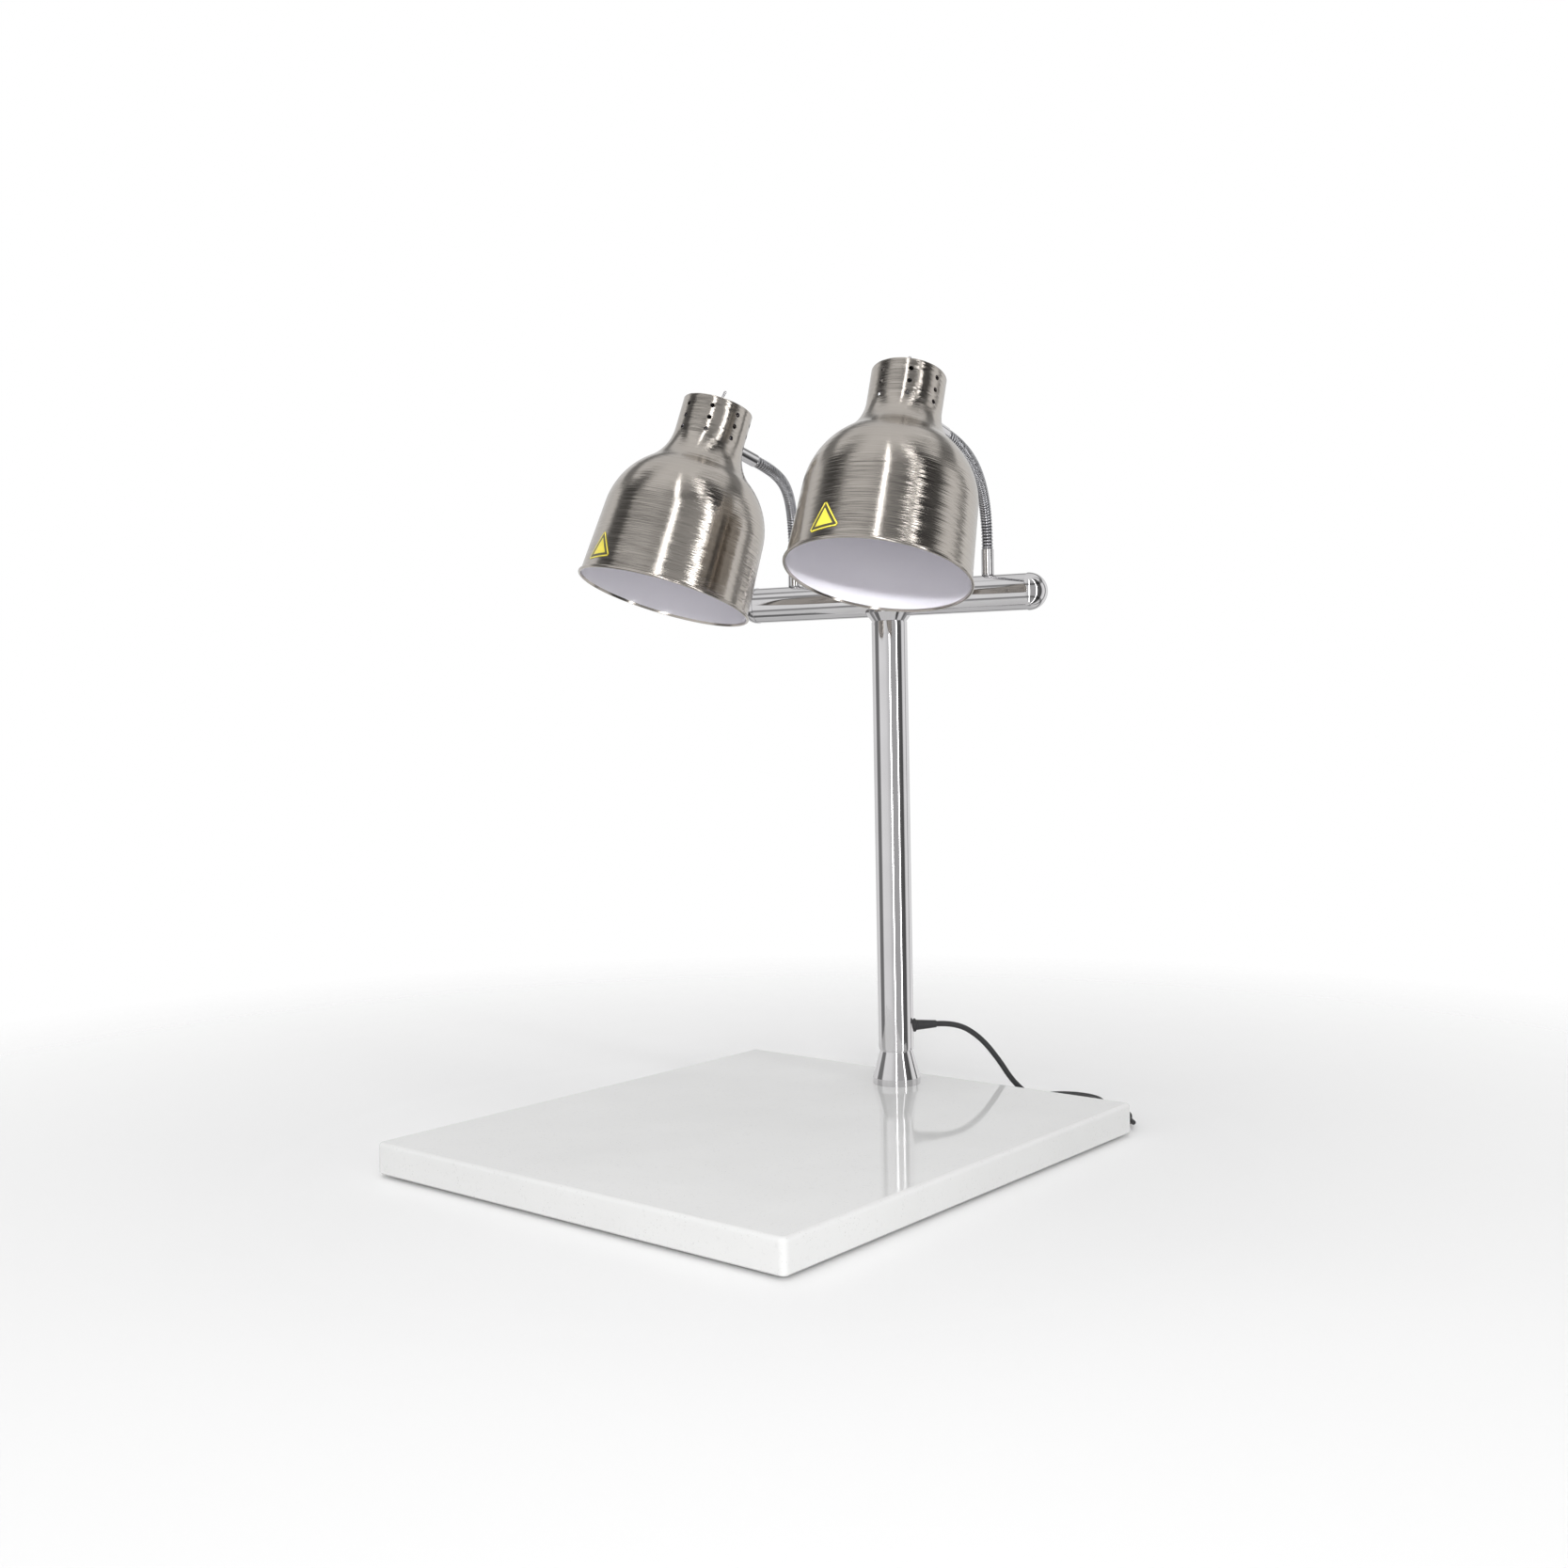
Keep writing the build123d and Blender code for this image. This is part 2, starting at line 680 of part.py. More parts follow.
for side, pose in lamp_poses.items():
    lean_side, lean_back = (tan(radians(angle)) for angle in pose["lean"])
    up = Vector(lean_side, lean_back, 1)
    toward_arm = Vector(sin(radians(pose["arm"])), -cos(radians(pose["arm"])), 0)
    toward_arm = toward_arm - up * (toward_arm.dot(up) / up.dot(up))
    lamp_frame = within(bar_frame, Plane(origin=pose["at"], x_dir=toward_arm, z_dir=up))
    for name, piece in lamp_parts.items():
        save(f"{side}_{name}", piece, lamp_frame)

    thrown = Plane(Location((0, 0, switch_pivot), (0, pose["tip"], 0))).offset(-switch_pivot)
    save(f"{side}_switch_lever", switch_lever, within(lamp_frame, thrown))

    entry = within(lamp_frame, Plane((0, 0, -arm_entry_depth), x_dir=(0, 0, 1), z_dir=(1, 0, 0)))
    save(f"{side}_top_ferrule", top_ferrule, entry)
    save(f"{side}_top_nipple", arm_nipple, within(entry, Plane.XY.offset(25)))
    save(f"{side}_top_nut", lock_nut, within(entry, Plane.XY.offset(28.8)))

    # the arm runs as one smooth curve from the crossbar's ferrule to the lamp's
    arm_base = arm_feet[side].offset(ferrule_length)
    start = arm_base.origin
    end = entry.offset(neck_radius - ferrule_seat + ferrule_length).origin
    lift, reach = handle[side]
    curve = Bezier(
        start,
        start + arm_base.z_dir * lift,
        end + entry.z_dir * reach,
        end,
        mode=Mode.PRIVATE,
    )
    joints = [curve @ (step / links_per_arm) for step in range(links_per_arm + 1)]
    print(side, "arm length", round(curve.length, 1))
    for step, joint in enumerate(joints):
        print("  joint", step + 1, [round(value, 2) for value in joint])
    for step in range(links_per_arm):
        span = joints[step + 1] - joints[step]
        low = arm_radius + link_end_gap
        high = span.length - low
        reach_in = (arm_radius**2 - arm_bore**2) ** 0.5
        with BuildPart() as arm_link:
            with BuildSketch(Plane.XZ):
                with BuildLine():
                    Line((arm_bore, low - reach_in), (arm_bore, high + reach_in))
                    ThreePointArc(
                        (arm_bore, high + reach_in),
                        (arm_radius * sin(link_cap_angle), high + arm_radius * cos(link_cap_angle)),
                        (arm_radius, high),
                    )
                    Line((arm_radius, high), (arm_radius, low))
                    ThreePointArc(
                        (arm_radius, low),
                        (arm_radius * sin(link_cap_angle), low - arm_radius * cos(link_cap_angle)),
                        (arm_bore, low - reach_in),
                    )
                make_face()
            revolve(axis=Axis.Z)
        save(f"{side}_arm_link_{step + 1}", arm_link, Plane(origin=joints[step], z_dir=span))
    print("  lamp axis", [round(value, 4) for value in lamp_frame.z_dir])
    print("  lamp arm direction", [round(value, 4) for value in lamp_frame.x_dir])
    print("  neck top", [round(value, 2) for value in lamp_frame.origin])
    lever_pivot = lamp_frame.offset(switch_pivot).origin
    print("  lever pivot", [round(value, 2) for value in lever_pivot])
    print("  lever axis", [round(value, 4) for value in lamp_frame.y_dir])

# ================================================================ supply cord
# the free part: distance out from the pole's axis along the exit direction, and height
cord_heading = Vector(cos(radians(cord_exit_angle)), sin(radians(cord_exit_angle)), 0)
cord_drop = [
    (relief_end, cord_exit_height),
    (68, cord_exit_height),
    (95, 77),
    (116, 51),
    (131, 27),
    (150, 9),
    (174, cord_radius),
]
coil_mid = 33
coil_layer_turns = 3
coil_outer = coil_mid + coil_layer_turns * cord_radius + cord_radius
coil_inner = coil_mid - coil_layer_turns * cord_radius - cord_radius
coil_entry = coil_outer - cord_radius
pole_axis = Vector(0, pole_y, 0)
cord_points = [pole_axis + cord_heading * out + Vector(0, 0, height) for out, height in cord_drop]
# the coil is wound clockwise, so it is entered from the left of its centre
coil_side = Vector(sin(radians(cord_exit_angle)), -cos(radians(cord_exit_angle)), 0)
coil_centre = cord_points[-1] + coil_side * coil_entry

tail_angle = 42
tail_heading = Vector(sin(radians(tail_angle)), -cos(radians(tail_angle)), 0)
tail_start = coil_centre + Vector(cos(radians(tail_angle)), sin(radians(tail_angle)), 0) * coil_entry
tail_points = [
    tail_start + Vector(0, 0, 2 * cord_radius),
    tail_start + tail_heading * 20 + Vector(0, 0, 1.5),
    tail_start + tail_heading * 40 + Vector(0, 0, plug_height / 2 - cord_radius),
]


def corner_radii(points):
    """The largest arc that fits each corner of a route."""
    radii = []
    for before, corner, after in zip(points, points[1:], points[2:]):
        turn = radians((corner - before).get_angle(after - corner))
        shorter = min((corner - before).length, (after - corner).length)
        radii.append(0.45 * shorter / tan(turn / 2))
    return radii


with BuildPart() as power_cord:
    for route in (cord_points, tail_points):
        radii = corner_radii(route)
        print("cord corner radii", [round(radius, 1) for radius in radii])
        with BuildLine() as cord_line:
            FilletPolyline(*route, radius=radii)
        with BuildSketch(Plane(cord_line.line @ 0, z_dir=cord_line.line % 0)):
            Circle(cord_radius)
        sweep()
        stretch = sum(edge.length for edge in cord_line.line.edges())
        print("cord stretch", round(stretch, 1), "coil centre", coil_centre)
save("power_cord", power_cord)

with BuildPart() as cord_coil:
    with BuildSketch(Plane(origin=(coil_centre.X, coil_centre.Y, 0))):
        Circle(coil_outer)
        Circle(coil_inner, mode=Mode.SUBTRACT)
    extrude(amount=4 * cord_radius)
save("cord_coil", cord_coil)

plug_end = tail_points[-1]
plug_frame = Plane(
    origin=(plug_end.X, plug_end.Y, 0),
    x_dir=(-tail_heading.Y, tail_heading.X, 0),
    z_dir=tail_heading,
)
with BuildPart() as plug:
    with BuildSketch(Plane.XY.offset(0)):
        with Locations((0, plug_height / 2)):
            RectangleRounded(plug_nose, plug_nose, 4)
    with BuildSketch(Plane.XY.offset(plug_taper)):
        with Locations((0, plug_height / 2)):
            RectangleRounded(plug_width, plug_height, 6)
    loft()
    with BuildSketch(Plane.XY.offset(plug_taper)):
        with Locations((0, plug_height / 2)):
            RectangleRounded(plug_width, plug_height, 6)
    extrude(amount=plug_body - plug_taper)
    with BuildSketch(Plane.XY.offset(plug_body)):
        with Locations((-pin_spacing / 2, plug_height / 2), (pin_spacing / 2, plug_height / 2)):
            Circle(pin_radius)
    extrude(amount=pin_length)
save("plug", plug, plug_frame)
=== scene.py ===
# %% [markdown]
# # A twin-lamp food warmer
# The real object is a polished stone slab with a chrome pole at its rear edge. The pole
# carries a crossbar that turns, and two steel bell lamps hang from it on flexible arms.
# The working model comes from the CAD frame. It could be modelled again here, but then
# nothing would fit, so its metal parts are kept and only what CAD can't say is remade.

# %% Load the frame
import json
import math

import bmesh
import bpy
from mathutils import Matrix, Vector
from mathutils.geometry import interpolate_bezier

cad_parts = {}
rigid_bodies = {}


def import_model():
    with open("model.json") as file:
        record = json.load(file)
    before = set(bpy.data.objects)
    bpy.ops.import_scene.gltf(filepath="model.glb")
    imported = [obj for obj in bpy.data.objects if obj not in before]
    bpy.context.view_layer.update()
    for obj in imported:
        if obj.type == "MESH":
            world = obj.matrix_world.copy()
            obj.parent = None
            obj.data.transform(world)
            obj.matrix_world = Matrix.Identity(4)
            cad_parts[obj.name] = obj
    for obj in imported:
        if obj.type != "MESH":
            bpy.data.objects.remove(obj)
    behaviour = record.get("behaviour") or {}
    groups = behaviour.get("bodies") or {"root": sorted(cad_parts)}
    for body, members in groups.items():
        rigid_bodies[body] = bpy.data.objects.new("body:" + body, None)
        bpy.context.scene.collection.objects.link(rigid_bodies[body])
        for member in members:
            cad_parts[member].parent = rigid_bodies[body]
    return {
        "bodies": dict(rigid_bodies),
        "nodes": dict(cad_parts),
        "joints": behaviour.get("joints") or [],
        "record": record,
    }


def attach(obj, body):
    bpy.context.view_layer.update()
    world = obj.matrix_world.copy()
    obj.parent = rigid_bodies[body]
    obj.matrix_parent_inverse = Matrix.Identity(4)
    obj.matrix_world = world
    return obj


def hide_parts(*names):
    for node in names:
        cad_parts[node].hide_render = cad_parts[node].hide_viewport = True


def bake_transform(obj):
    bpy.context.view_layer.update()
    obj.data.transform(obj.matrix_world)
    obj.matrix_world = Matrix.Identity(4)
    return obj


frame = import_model()
bpy.context.view_layer.update()
joints = {joint["name"]: joint for joint in frame["joints"]}

# %% [markdown]
# ## The camera
# The warmer is seen through a moderate wide lens from one corner of the slab, about as
# high as the crossbar. The camera could be aimed with a constraint, but three plain
# angles are easier to read and to change: heading, tilt and roll.

# %% Camera
camera_place = Vector((1.0306, -1.2065, 0.4120))
camera_heading = math.radians(39.66)
camera_tilt = math.radians(1.79)
camera_roll = math.radians(-1.07)
sensor_width, focal_length = 36, 37.57


def add_camera():
    data = bpy.data.cameras.new("camera")
    data.sensor_width = sensor_width
    data.lens = focal_length
    camera = bpy.data.objects.new("camera", data)
    upright = Matrix.Rotation(math.pi / 2, 4, "X")
    turned = Matrix.Rotation(camera_heading, 4, "Z") @ Matrix.Rotation(-camera_tilt, 4, "X")
    rolled = Matrix.Rotation(camera_roll, 4, "Z")
    camera.matrix_world = Matrix.Translation(camera_place) @ turned @ upright @ rolled
    bpy.context.scene.collection.objects.link(camera)
    bpy.context.scene.camera = camera
    return camera


camera = add_camera()
print("camera", [round(value, 3) for value in camera.location])

# %% [markdown]
# ## The supply cord
# The cord leaves the pole through a rubber strain relief just above the slab, hangs over
# the rear edge and is put away behind it as a small coil in two layers. It could be a
# swept mesh, but a curve with a round bevel keeps its true length and is easy to route.
# The hanging part is a list of given points, and the coil is a loop. A point's radius
# multiplies the bevel, and it also counts in the object's box, so the bevel is 1
# and the radius is the real one.

# %% Cord route
cord_radius = 0.003
hanging_points = [
    (0.0277, 0.2535, 0.094),
    (0.0419, 0.2716, 0.094),
    (0.0585, 0.2929, 0.077),
    (0.0714, 0.3094, 0.051),
    (0.0807, 0.3212, 0.027),
    (0.0924, 0.3362, 0.009),
    (0.1071, 0.3551, 0.003),
]
tail_points = [(0.1714, 0.3574, 0.009), (0.1848, 0.3425, 0.0045), (0.1982, 0.3276, 0.008)]
coil_middle = (0.1402, 0.3293)
coil_outside, coil_inside = 0.042, 0.024
coil_start_angle, coil_end_angle = 142, 42
turns_per_layer = 3
layer_change = 120
points_per_turn = 18


def coil_points():
    """Clockwise: inwards on the floor, up on to that layer, and outwards over it."""
    inward = turns_per_layer * 360
    outward = coil_start_angle + turns_per_layer * 360 - coil_end_angle - layer_change
    step = 360 / points_per_turn
    points = []
    turned = step
    while turned < inward + layer_change + outward - step / 2:
        if turned < inward:
            radius = coil_outside + (coil_inside - coil_outside) * turned / inward
            height = cord_radius
        elif turned < inward + layer_change:
            radius = coil_inside
            height = cord_radius + 2 * cord_radius * (turned - inward) / layer_change
        else:
            done = (turned - inward - layer_change) / outward
            radius = coil_inside + (coil_outside - coil_inside) * done
            height = 3 * cord_radius
        angle = math.radians(coil_start_angle - turned)
        points.append((
            coil_middle[0] + radius * math.cos(angle),
            coil_middle[1] + radius * math.sin(angle),
            height,
        ))
        turned += step
    return points


cord_points = hanging_points + coil_points() + tail_points
print("cord points", len(cord_points))


# %% Cord curve
def add_cord():
    data = bpy.data.curves.new("supply_cord", "CURVE")
    data.dimensions = "3D"
    data.resolution_u = 8
    data.bevel_depth = 1.0
    data.bevel_resolution = 5
    data.use_fill_caps = True
    spline = data.splines.new("NURBS")
    spline.points.add(len(cord_points) - 1)
    for point, place in zip(spline.points, cord_points):
        point.co = (*place, 1)
        point.radius = cord_radius
    spline.order_u = 3
    spline.use_endpoint_u = True
    cord = bpy.data.objects.new("supply_cord", data)
    bpy.context.scene.collection.objects.link(cord)
    return cord


cord = add_cord()
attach(cord, "stand")
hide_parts("power_cord", "cord_coil")
print("cord", cord.name, "radius", cord_radius)

# %% [markdown]
# ## Writing a finish
# A finish is a material made of nodes. Clicking nodes together is fine for one material,
# but a dozen of them read better as sums, so a small class wraps a node's socket and lets
# Python's own operators add the Math nodes. Every other node comes from one method.


# %% Finish helpers
class Value:
    """A number, colour or vector that a node gives out."""

    def __init__(self, finish, socket):
        self.finish = finish
        self.socket = socket

    def maths(self, operation, first, second):
        return self.finish.node("Math", {"operation": operation}, {0: first, 1: second})

    def __add__(self, other):
        return self.maths("ADD", self, other)

    def __radd__(self, other):
        return self.maths("ADD", other, self)

    def __sub__(self, other):
        return self.maths("SUBTRACT", self, other)

    def __rsub__(self, other):
        return self.maths("SUBTRACT", other, self)

    def __mul__(self, other):
        return self.maths("MULTIPLY", self, other)

    def __rmul__(self, other):
        return self.maths("MULTIPLY", other, self)


class Finish:
    """One material: a Principled shader and the nodes that feed it."""

    def __init__(self, name, color, roughness, metallic=0.0, **fixed):
        self.material = bpy.data.materials.new(name)
        self.material.use_nodes = True
        self.tree = self.material.node_tree
        self.shader = self.tree.nodes["Principled BSDF"]
        self.set(Roughness=roughness, Metallic=metallic)
        self.shader.inputs["Base Color"].default_value = (*color, 1)
        for label, value in fixed.items():
            self.shader.inputs[label.replace("_", " ")].default_value = value

    def feed(self, socket, value):
        if isinstance(value, Value):
            self.tree.links.new(value.socket, socket)
        elif isinstance(value, tuple) and len(value) == 3 and socket.type == "RGBA":
            socket.default_value = (*value, 1)
        else:
            socket.default_value = value

    def set(self, **inputs):
        for label, value in inputs.items():
            self.feed(self.shader.inputs[label.replace("_", " ")], value)

    def node(self, kind, settings=None, inputs=None, output=0):
        made = self.tree.nodes.new("ShaderNode" + kind)
        for label, value in (settings or {}).items():
            if label == "stops":
                self.set_stops(made.color_ramp, value)
            else:
                setattr(made, label, value)
        for label, value in (inputs or {}).items():
            self.feed(made.inputs[label], value)
        return Value(self, made.outputs[output])

    def set_stops(self, ramp, stops):
        while len(ramp.elements) < len(stops):
            ramp.elements.new(0.5)
        for element, (place, shade) in zip(ramp.elements, stops):
            element.position = place
            element.color = (shade, shade, shade, 1) if isinstance(shade, float) else (*shade, 1)

    def place(self, scale=(1, 1, 1), frame=None):
        """Object coordinates, or those of a turned frame, stretched by scale."""
        coordinates = self.node("TexCoord", output="Object")
        if frame is not None:
            turned = {"Location": frame.to_translation(), "Rotation": frame.to_euler()}
            coordinates = self.node(
                "Mapping", {"vector_type": "TEXTURE"}, {"Vector": coordinates, **turned}
            )
        return self.node("Mapping", None, {"Vector": coordinates, "Scale": scale})

    def noise(self, size, detail=2.0, stretch=(1, 1, 1), frame=None):
        """Cloudy noise whose blobs are about size metres across."""
        place = self.place(tuple(amount / size for amount in stretch), frame)
        return self.node("TexNoise", None, {"Vector": place, "Scale": 1.0, "Detail": detail})

    def ramp(self, value, *stops):
        return self.node("ValToRGB", {"stops": stops}, {"Fac": value})

    def mix(self, factor, first, second):
        settings = {"data_type": "RGBA"}
        return self.node("Mix", settings, {0: factor, 6: first, 7: second}, output=2)

    def bump(self, height, distance, strength=1.0):
        inputs = {"Height": height, "Distance": distance, "Strength": strength}
        self.set(Normal=self.node("Bump", None, inputs))


print("finish helpers ready")

# %% [markdown]
# ## Polished metal
# Chrome is a mirror, so its look is the room's look. Two slight faults keep it from
# looking like a drawing: wiping marks that change its gloss, and plating that isn't flat.


# %% Chrome and plated steel
def chrome():
    finish = Finish("chrome_plate", (0.71, 0.70, 0.71), roughness=0.05, metallic=1.0)
    wiped = finish.noise(size=0.035, detail=4.0, stretch=(1, 1, 0.25))
    finish.set(Roughness=finish.ramp(wiped, (0.35, 0.035), (0.75, 0.12)))
    tint = finish.mix(finish.noise(size=0.05), (0.66, 0.65, 0.66), (0.76, 0.75, 0.76))
    finish.set(Base_Color=tint)
    finish.bump(finish.noise(size=0.02), distance=0.0001, strength=0.25)
    return finish.material


def zinc_steel():
    finish = Finish("zinc_steel", (0.58, 0.59, 0.60), roughness=0.35, metallic=1.0)
    spangle = finish.noise(size=0.004, detail=3.0)
    finish.set(Base_Color=finish.mix(spangle, (0.50, 0.51, 0.53), (0.68, 0.69, 0.69)))
    finish.set(Roughness=finish.ramp(spangle, (0.3, 0.26), (0.8, 0.46)))
    finish.bump(finish.noise(size=0.0008), distance=0.00005, strength=0.4)
    return finish.material


def wound_steel():
    """Chromed ribs, with painted shade in the grooves between them, which the mesh marks."""
    finish = Finish("wound_steel", (0.62, 0.62, 0.63), roughness=0.22, metallic=1.0)
    handled = finish.noise(size=0.012, detail=3.0)
    plating = finish.mix(handled, (0.46, 0.46, 0.48), (0.66, 0.66, 0.68))
    rib = finish.node("Attribute", {"attribute_name": "rib"}, output="Fac")
    free_of_painted_shade = finish.ramp(rib, (0.25, 0.0), (0.75, 1.0))
    # The near-black groove colour is painted shade, laid where the ribs would shade the grooves.
    finish.set(Base_Color=finish.mix(free_of_painted_shade, (0.09, 0.09, 0.10), plating))
    finish.set(Roughness=finish.ramp(handled, (0.3, 0.16), (0.8, 0.34)))
    return finish.material


def nickel_brass():
    finish = Finish("nickel_brass", (0.70, 0.66, 0.56), roughness=0.25, metallic=1.0)
    stain = finish.noise(size=0.006, detail=3.0)
    finish.set(Base_Color=finish.mix(stain, (0.62, 0.56, 0.45), (0.76, 0.73, 0.65)))
    finish.set(Roughness=finish.ramp(stain, (0.3, 0.18), (0.8, 0.38)))
    return finish.material


materials = {
    "chrome": chrome(),
    "zinc_steel": zinc_steel(),
    "conduit_steel": wound_steel(),
    "nickel_brass": nickel_brass(),
}
print("metals", len(materials))

# %% [markdown]
# ## Where each lamp is
# The two lamps are the same lamp, turned two ways. Their places could be typed in, but
# the frame's joints already fix them: the switch's pivot lies on the lamp's axis, its
# hinge line crosses that axis, and the last arm joint lies straight out from the neck.

# %% Lamp frames
pivot_above_neck = 0.005
entry_depth = 0.030
ferrule_end = 0.0614


def lamp_frame(side):
    """The lamp's own frame: z up its axis, x towards its arm, origin at the neck's top."""
    pivot = Vector(joints[f"{side}_switch_throw"]["pos_m"])
    across = Vector(joints[f"{side}_switch_throw"]["axis"]).normalized()
    to_arm = Vector(joints[f"{side}_arm_bend_3"]["pos_m"]) - pivot
    drop = entry_depth + pivot_above_neck
    turned = across.cross(to_arm)
    outward = (to_arm * ferrule_end - turned * drop).normalized()
    upward = outward.cross(across).normalized()
    across = upward.cross(outward)
    turn = Matrix((outward, across, upward)).transposed().to_4x4()
    return Matrix.Translation(pivot - upward * pivot_above_neck) @ turn


lamps = {side: lamp_frame(side) for side in ("left", "right")}
for side, place in lamps.items():
    print(side, "lamp leans", round(math.degrees(place.col[2].xyz.angle(Vector((0, 0, 1)))), 1))

# %% [markdown]
# ## Turned steel and enamel
# The bells are spun from sheet steel and brushed while they turn, so every scratch runs
# round the axis. Such scratches smear a reflection along the bell's length, which makes
# the tall bright and dark bands. A bump texture this fine would only flicker, so the
# surface direction itself is rocked along the lamp's axis by noise that runs in rings.


# %% Brushed steel and enamel
ring_size, band_size = 0.00022, 0.006
ring_stretch, band_stretch = (0.004, 0.004, 1), (0.08, 0.08, 1)
scratch_lean = 0.8


def brushed_steel(side):
    place = lamps[side]
    finish = Finish(f"brushed_steel_{side}", (0.50, 0.46, 0.42), roughness=0.24, metallic=1.0)
    rings = finish.noise(ring_size, detail=1.0, stretch=ring_stretch, frame=place)
    bands = finish.noise(band_size, detail=3.0, stretch=band_stretch, frame=place)
    fine = finish.ramp(rings, (0.3, (0.46, 0.425, 0.385)), (0.7, (0.52, 0.485, 0.445)))
    finish.set(Base_Color=finish.mix(bands * 0.4, fine, (0.56, 0.52, 0.48)))
    finish.set(Roughness=finish.ramp(bands, (0.35, 0.11), (0.65, 0.16)))
    space = {"vector_type": "VECTOR", "convert_from": "OBJECT", "convert_to": "WORLD"}
    axis = finish.node("VectorTransform", space, {0: place.col[2].xyz.normalized()})
    rock = (rings - 0.5) * scratch_lean
    lean = finish.node("VectorMath", {"operation": "SCALE"}, {0: axis, 3: rock})
    normal = finish.node("NewGeometry", output="Normal")
    leant = finish.node("VectorMath", {"operation": "ADD"}, {0: normal, 1: lean})
    finish.set(Normal=finish.node("VectorMath", {"operation": "NORMALIZE"}, {0: leant}))
    return finish.material


def enamel():
    glaze = {"Coat_Weight": 0.3, "Coat_Roughness": 0.1}
    finish = Finish("white_enamel", (0.74, 0.72, 0.78), roughness=0.25, **glaze)
    cloud = finish.noise(size=0.03, detail=3.0)
    finish.set(Base_Color=finish.mix(cloud, (0.72, 0.70, 0.76), (0.77, 0.75, 0.80)))
    finish.set(Roughness=finish.ramp(cloud, (0.3, 0.13), (0.8, 0.24)))
    finish.bump(finish.noise(size=0.0025), distance=0.0001, strength=0.15)
    return finish.material


steels = {side: brushed_steel(side) for side in lamps}
white_enamel = enamel()
print("bell finishes", [steel.name for steel in steels.values()], white_enamel.name)

# %% [markdown]
# ## Stone, ceramic, glass, rubber and plastic
# The slab is quartz stone: white, a little cloudy, with fine dark grains, and polished
# until the pole mirrors in it. The other finishes are small or under the slab, and each
# has its own grain so that none of them is one flat colour.


# %% Stone
grains_per_metre = 330


def stone():
    finish = Finish("polished_quartz", (0.80, 0.80, 0.79), roughness=0.06)
    cloud = finish.noise(size=0.09, detail=6.0)
    base = finish.mix(cloud, (0.74, 0.74, 0.735), (0.82, 0.82, 0.815))
    cells = finish.place((grains_per_metre,) * 3)
    grain = finish.node("TexVoronoi", {"feature": "F1"}, {"Vector": cells, "Scale": 1.0})
    patch = finish.ramp(finish.noise(size=0.02, detail=3.0), (0.48, 0.0), (0.62, 1.0))
    dark = finish.ramp(grain, (0.10, 1.0), (0.20, 0.0)) * patch
    crumb = finish.ramp(finish.noise(size=0.0035, detail=2.0), (0.62, 0.0), (0.72, 1.0))
    speckled = finish.mix(dark * 0.45, base, (0.38, 0.37, 0.36))
    finish.set(Base_Color=finish.mix(crumb * 0.22, speckled, (0.62, 0.62, 0.61)))
    finish.set(Roughness=finish.ramp(cloud, (0.3, 0.03), (0.8, 0.09)))
    return finish.material


materials["stone"] = stone()
print("stone finish", materials["stone"].name)


# %% Ceramic and glass
def porcelain():
    finish = Finish("glazed_porcelain", (0.88, 0.87, 0.83), roughness=0.2, Coat_Weight=0.3)
    cloud = finish.noise(size=0.01, detail=3.0)
    finish.set(Base_Color=finish.mix(cloud, (0.84, 0.82, 0.77), (0.92, 0.91, 0.88)))
    finish.set(Roughness=finish.ramp(cloud, (0.3, 0.14), (0.8, 0.3)))
    return finish.material


def bulb_glass(side):
    """Frosted over the face and silvered over the cone behind it."""
    finish = Finish(f"bulb_glass_{side}", (0.9, 0.9, 0.9), roughness=0.3, Coat_Weight=0.6)
    along = finish.node("SeparateXYZ", None, {0: finish.place(frame=lamps[side])}, output="Z")
    back = finish.ramp(along * -5.0, (0.54, 1.0), (0.58, 0.0))
    frost = finish.noise(size=0.004, detail=3.0)
    face = finish.mix(frost, (0.86, 0.86, 0.85), (0.94, 0.94, 0.93))
    finish.set(Base_Color=finish.mix(back, face, (0.80, 0.80, 0.81)))
    finish.set(Metallic=back * 0.9)
    finish.set(Roughness=0.42 - back * 0.27 + frost * 0.06)
    return finish.material


materials["white_porcelain"] = porcelain()
bulb_glasses = {side: bulb_glass(side) for side in lamps}
print("bulb finishes", [glass.name for glass in bulb_glasses.values()])


# %% Rubber, plastic and sleeve
threads_per_metre = 900.0


def rubber(name="black_rubber"):
    finish = Finish(name, (0.03, 0.03, 0.032), roughness=0.55)
    bloom = finish.noise(size=0.012, detail=4.0)
    finish.set(Base_Color=finish.mix(bloom, (0.018, 0.018, 0.019), (0.045, 0.045, 0.047)))
    finish.set(Roughness=finish.ramp(bloom, (0.3, 0.42), (0.75, 0.68)))
    finish.bump(finish.noise(size=0.0006), distance=0.00004, strength=0.5)
    return finish.material


def moulded_plastic():
    finish = Finish("moulded_plastic", (0.03, 0.03, 0.032), roughness=0.4)
    spark = finish.noise(size=0.0005)
    finish.set(Base_Color=finish.mix(finish.noise(size=0.01), (0.022,) * 3, (0.04, 0.04, 0.042)))
    finish.set(Roughness=finish.ramp(spark, (0.3, 0.34), (0.7, 0.5)))
    finish.bump(spark, distance=0.00005, strength=0.6)
    return finish.material


def heat_sleeve():
    finish = Finish("heat_sleeve", (0.75, 0.73, 0.68), roughness=0.8, Sheen_Weight=0.3)
    weave = finish.node("TexWave", None, {"Vector": finish.place(), "Scale": threads_per_metre})
    finish.set(Base_Color=finish.mix(weave, (0.62, 0.60, 0.54), (0.80, 0.78, 0.73)))
    finish.bump(weave, distance=0.0001, strength=0.6)
    return finish.material


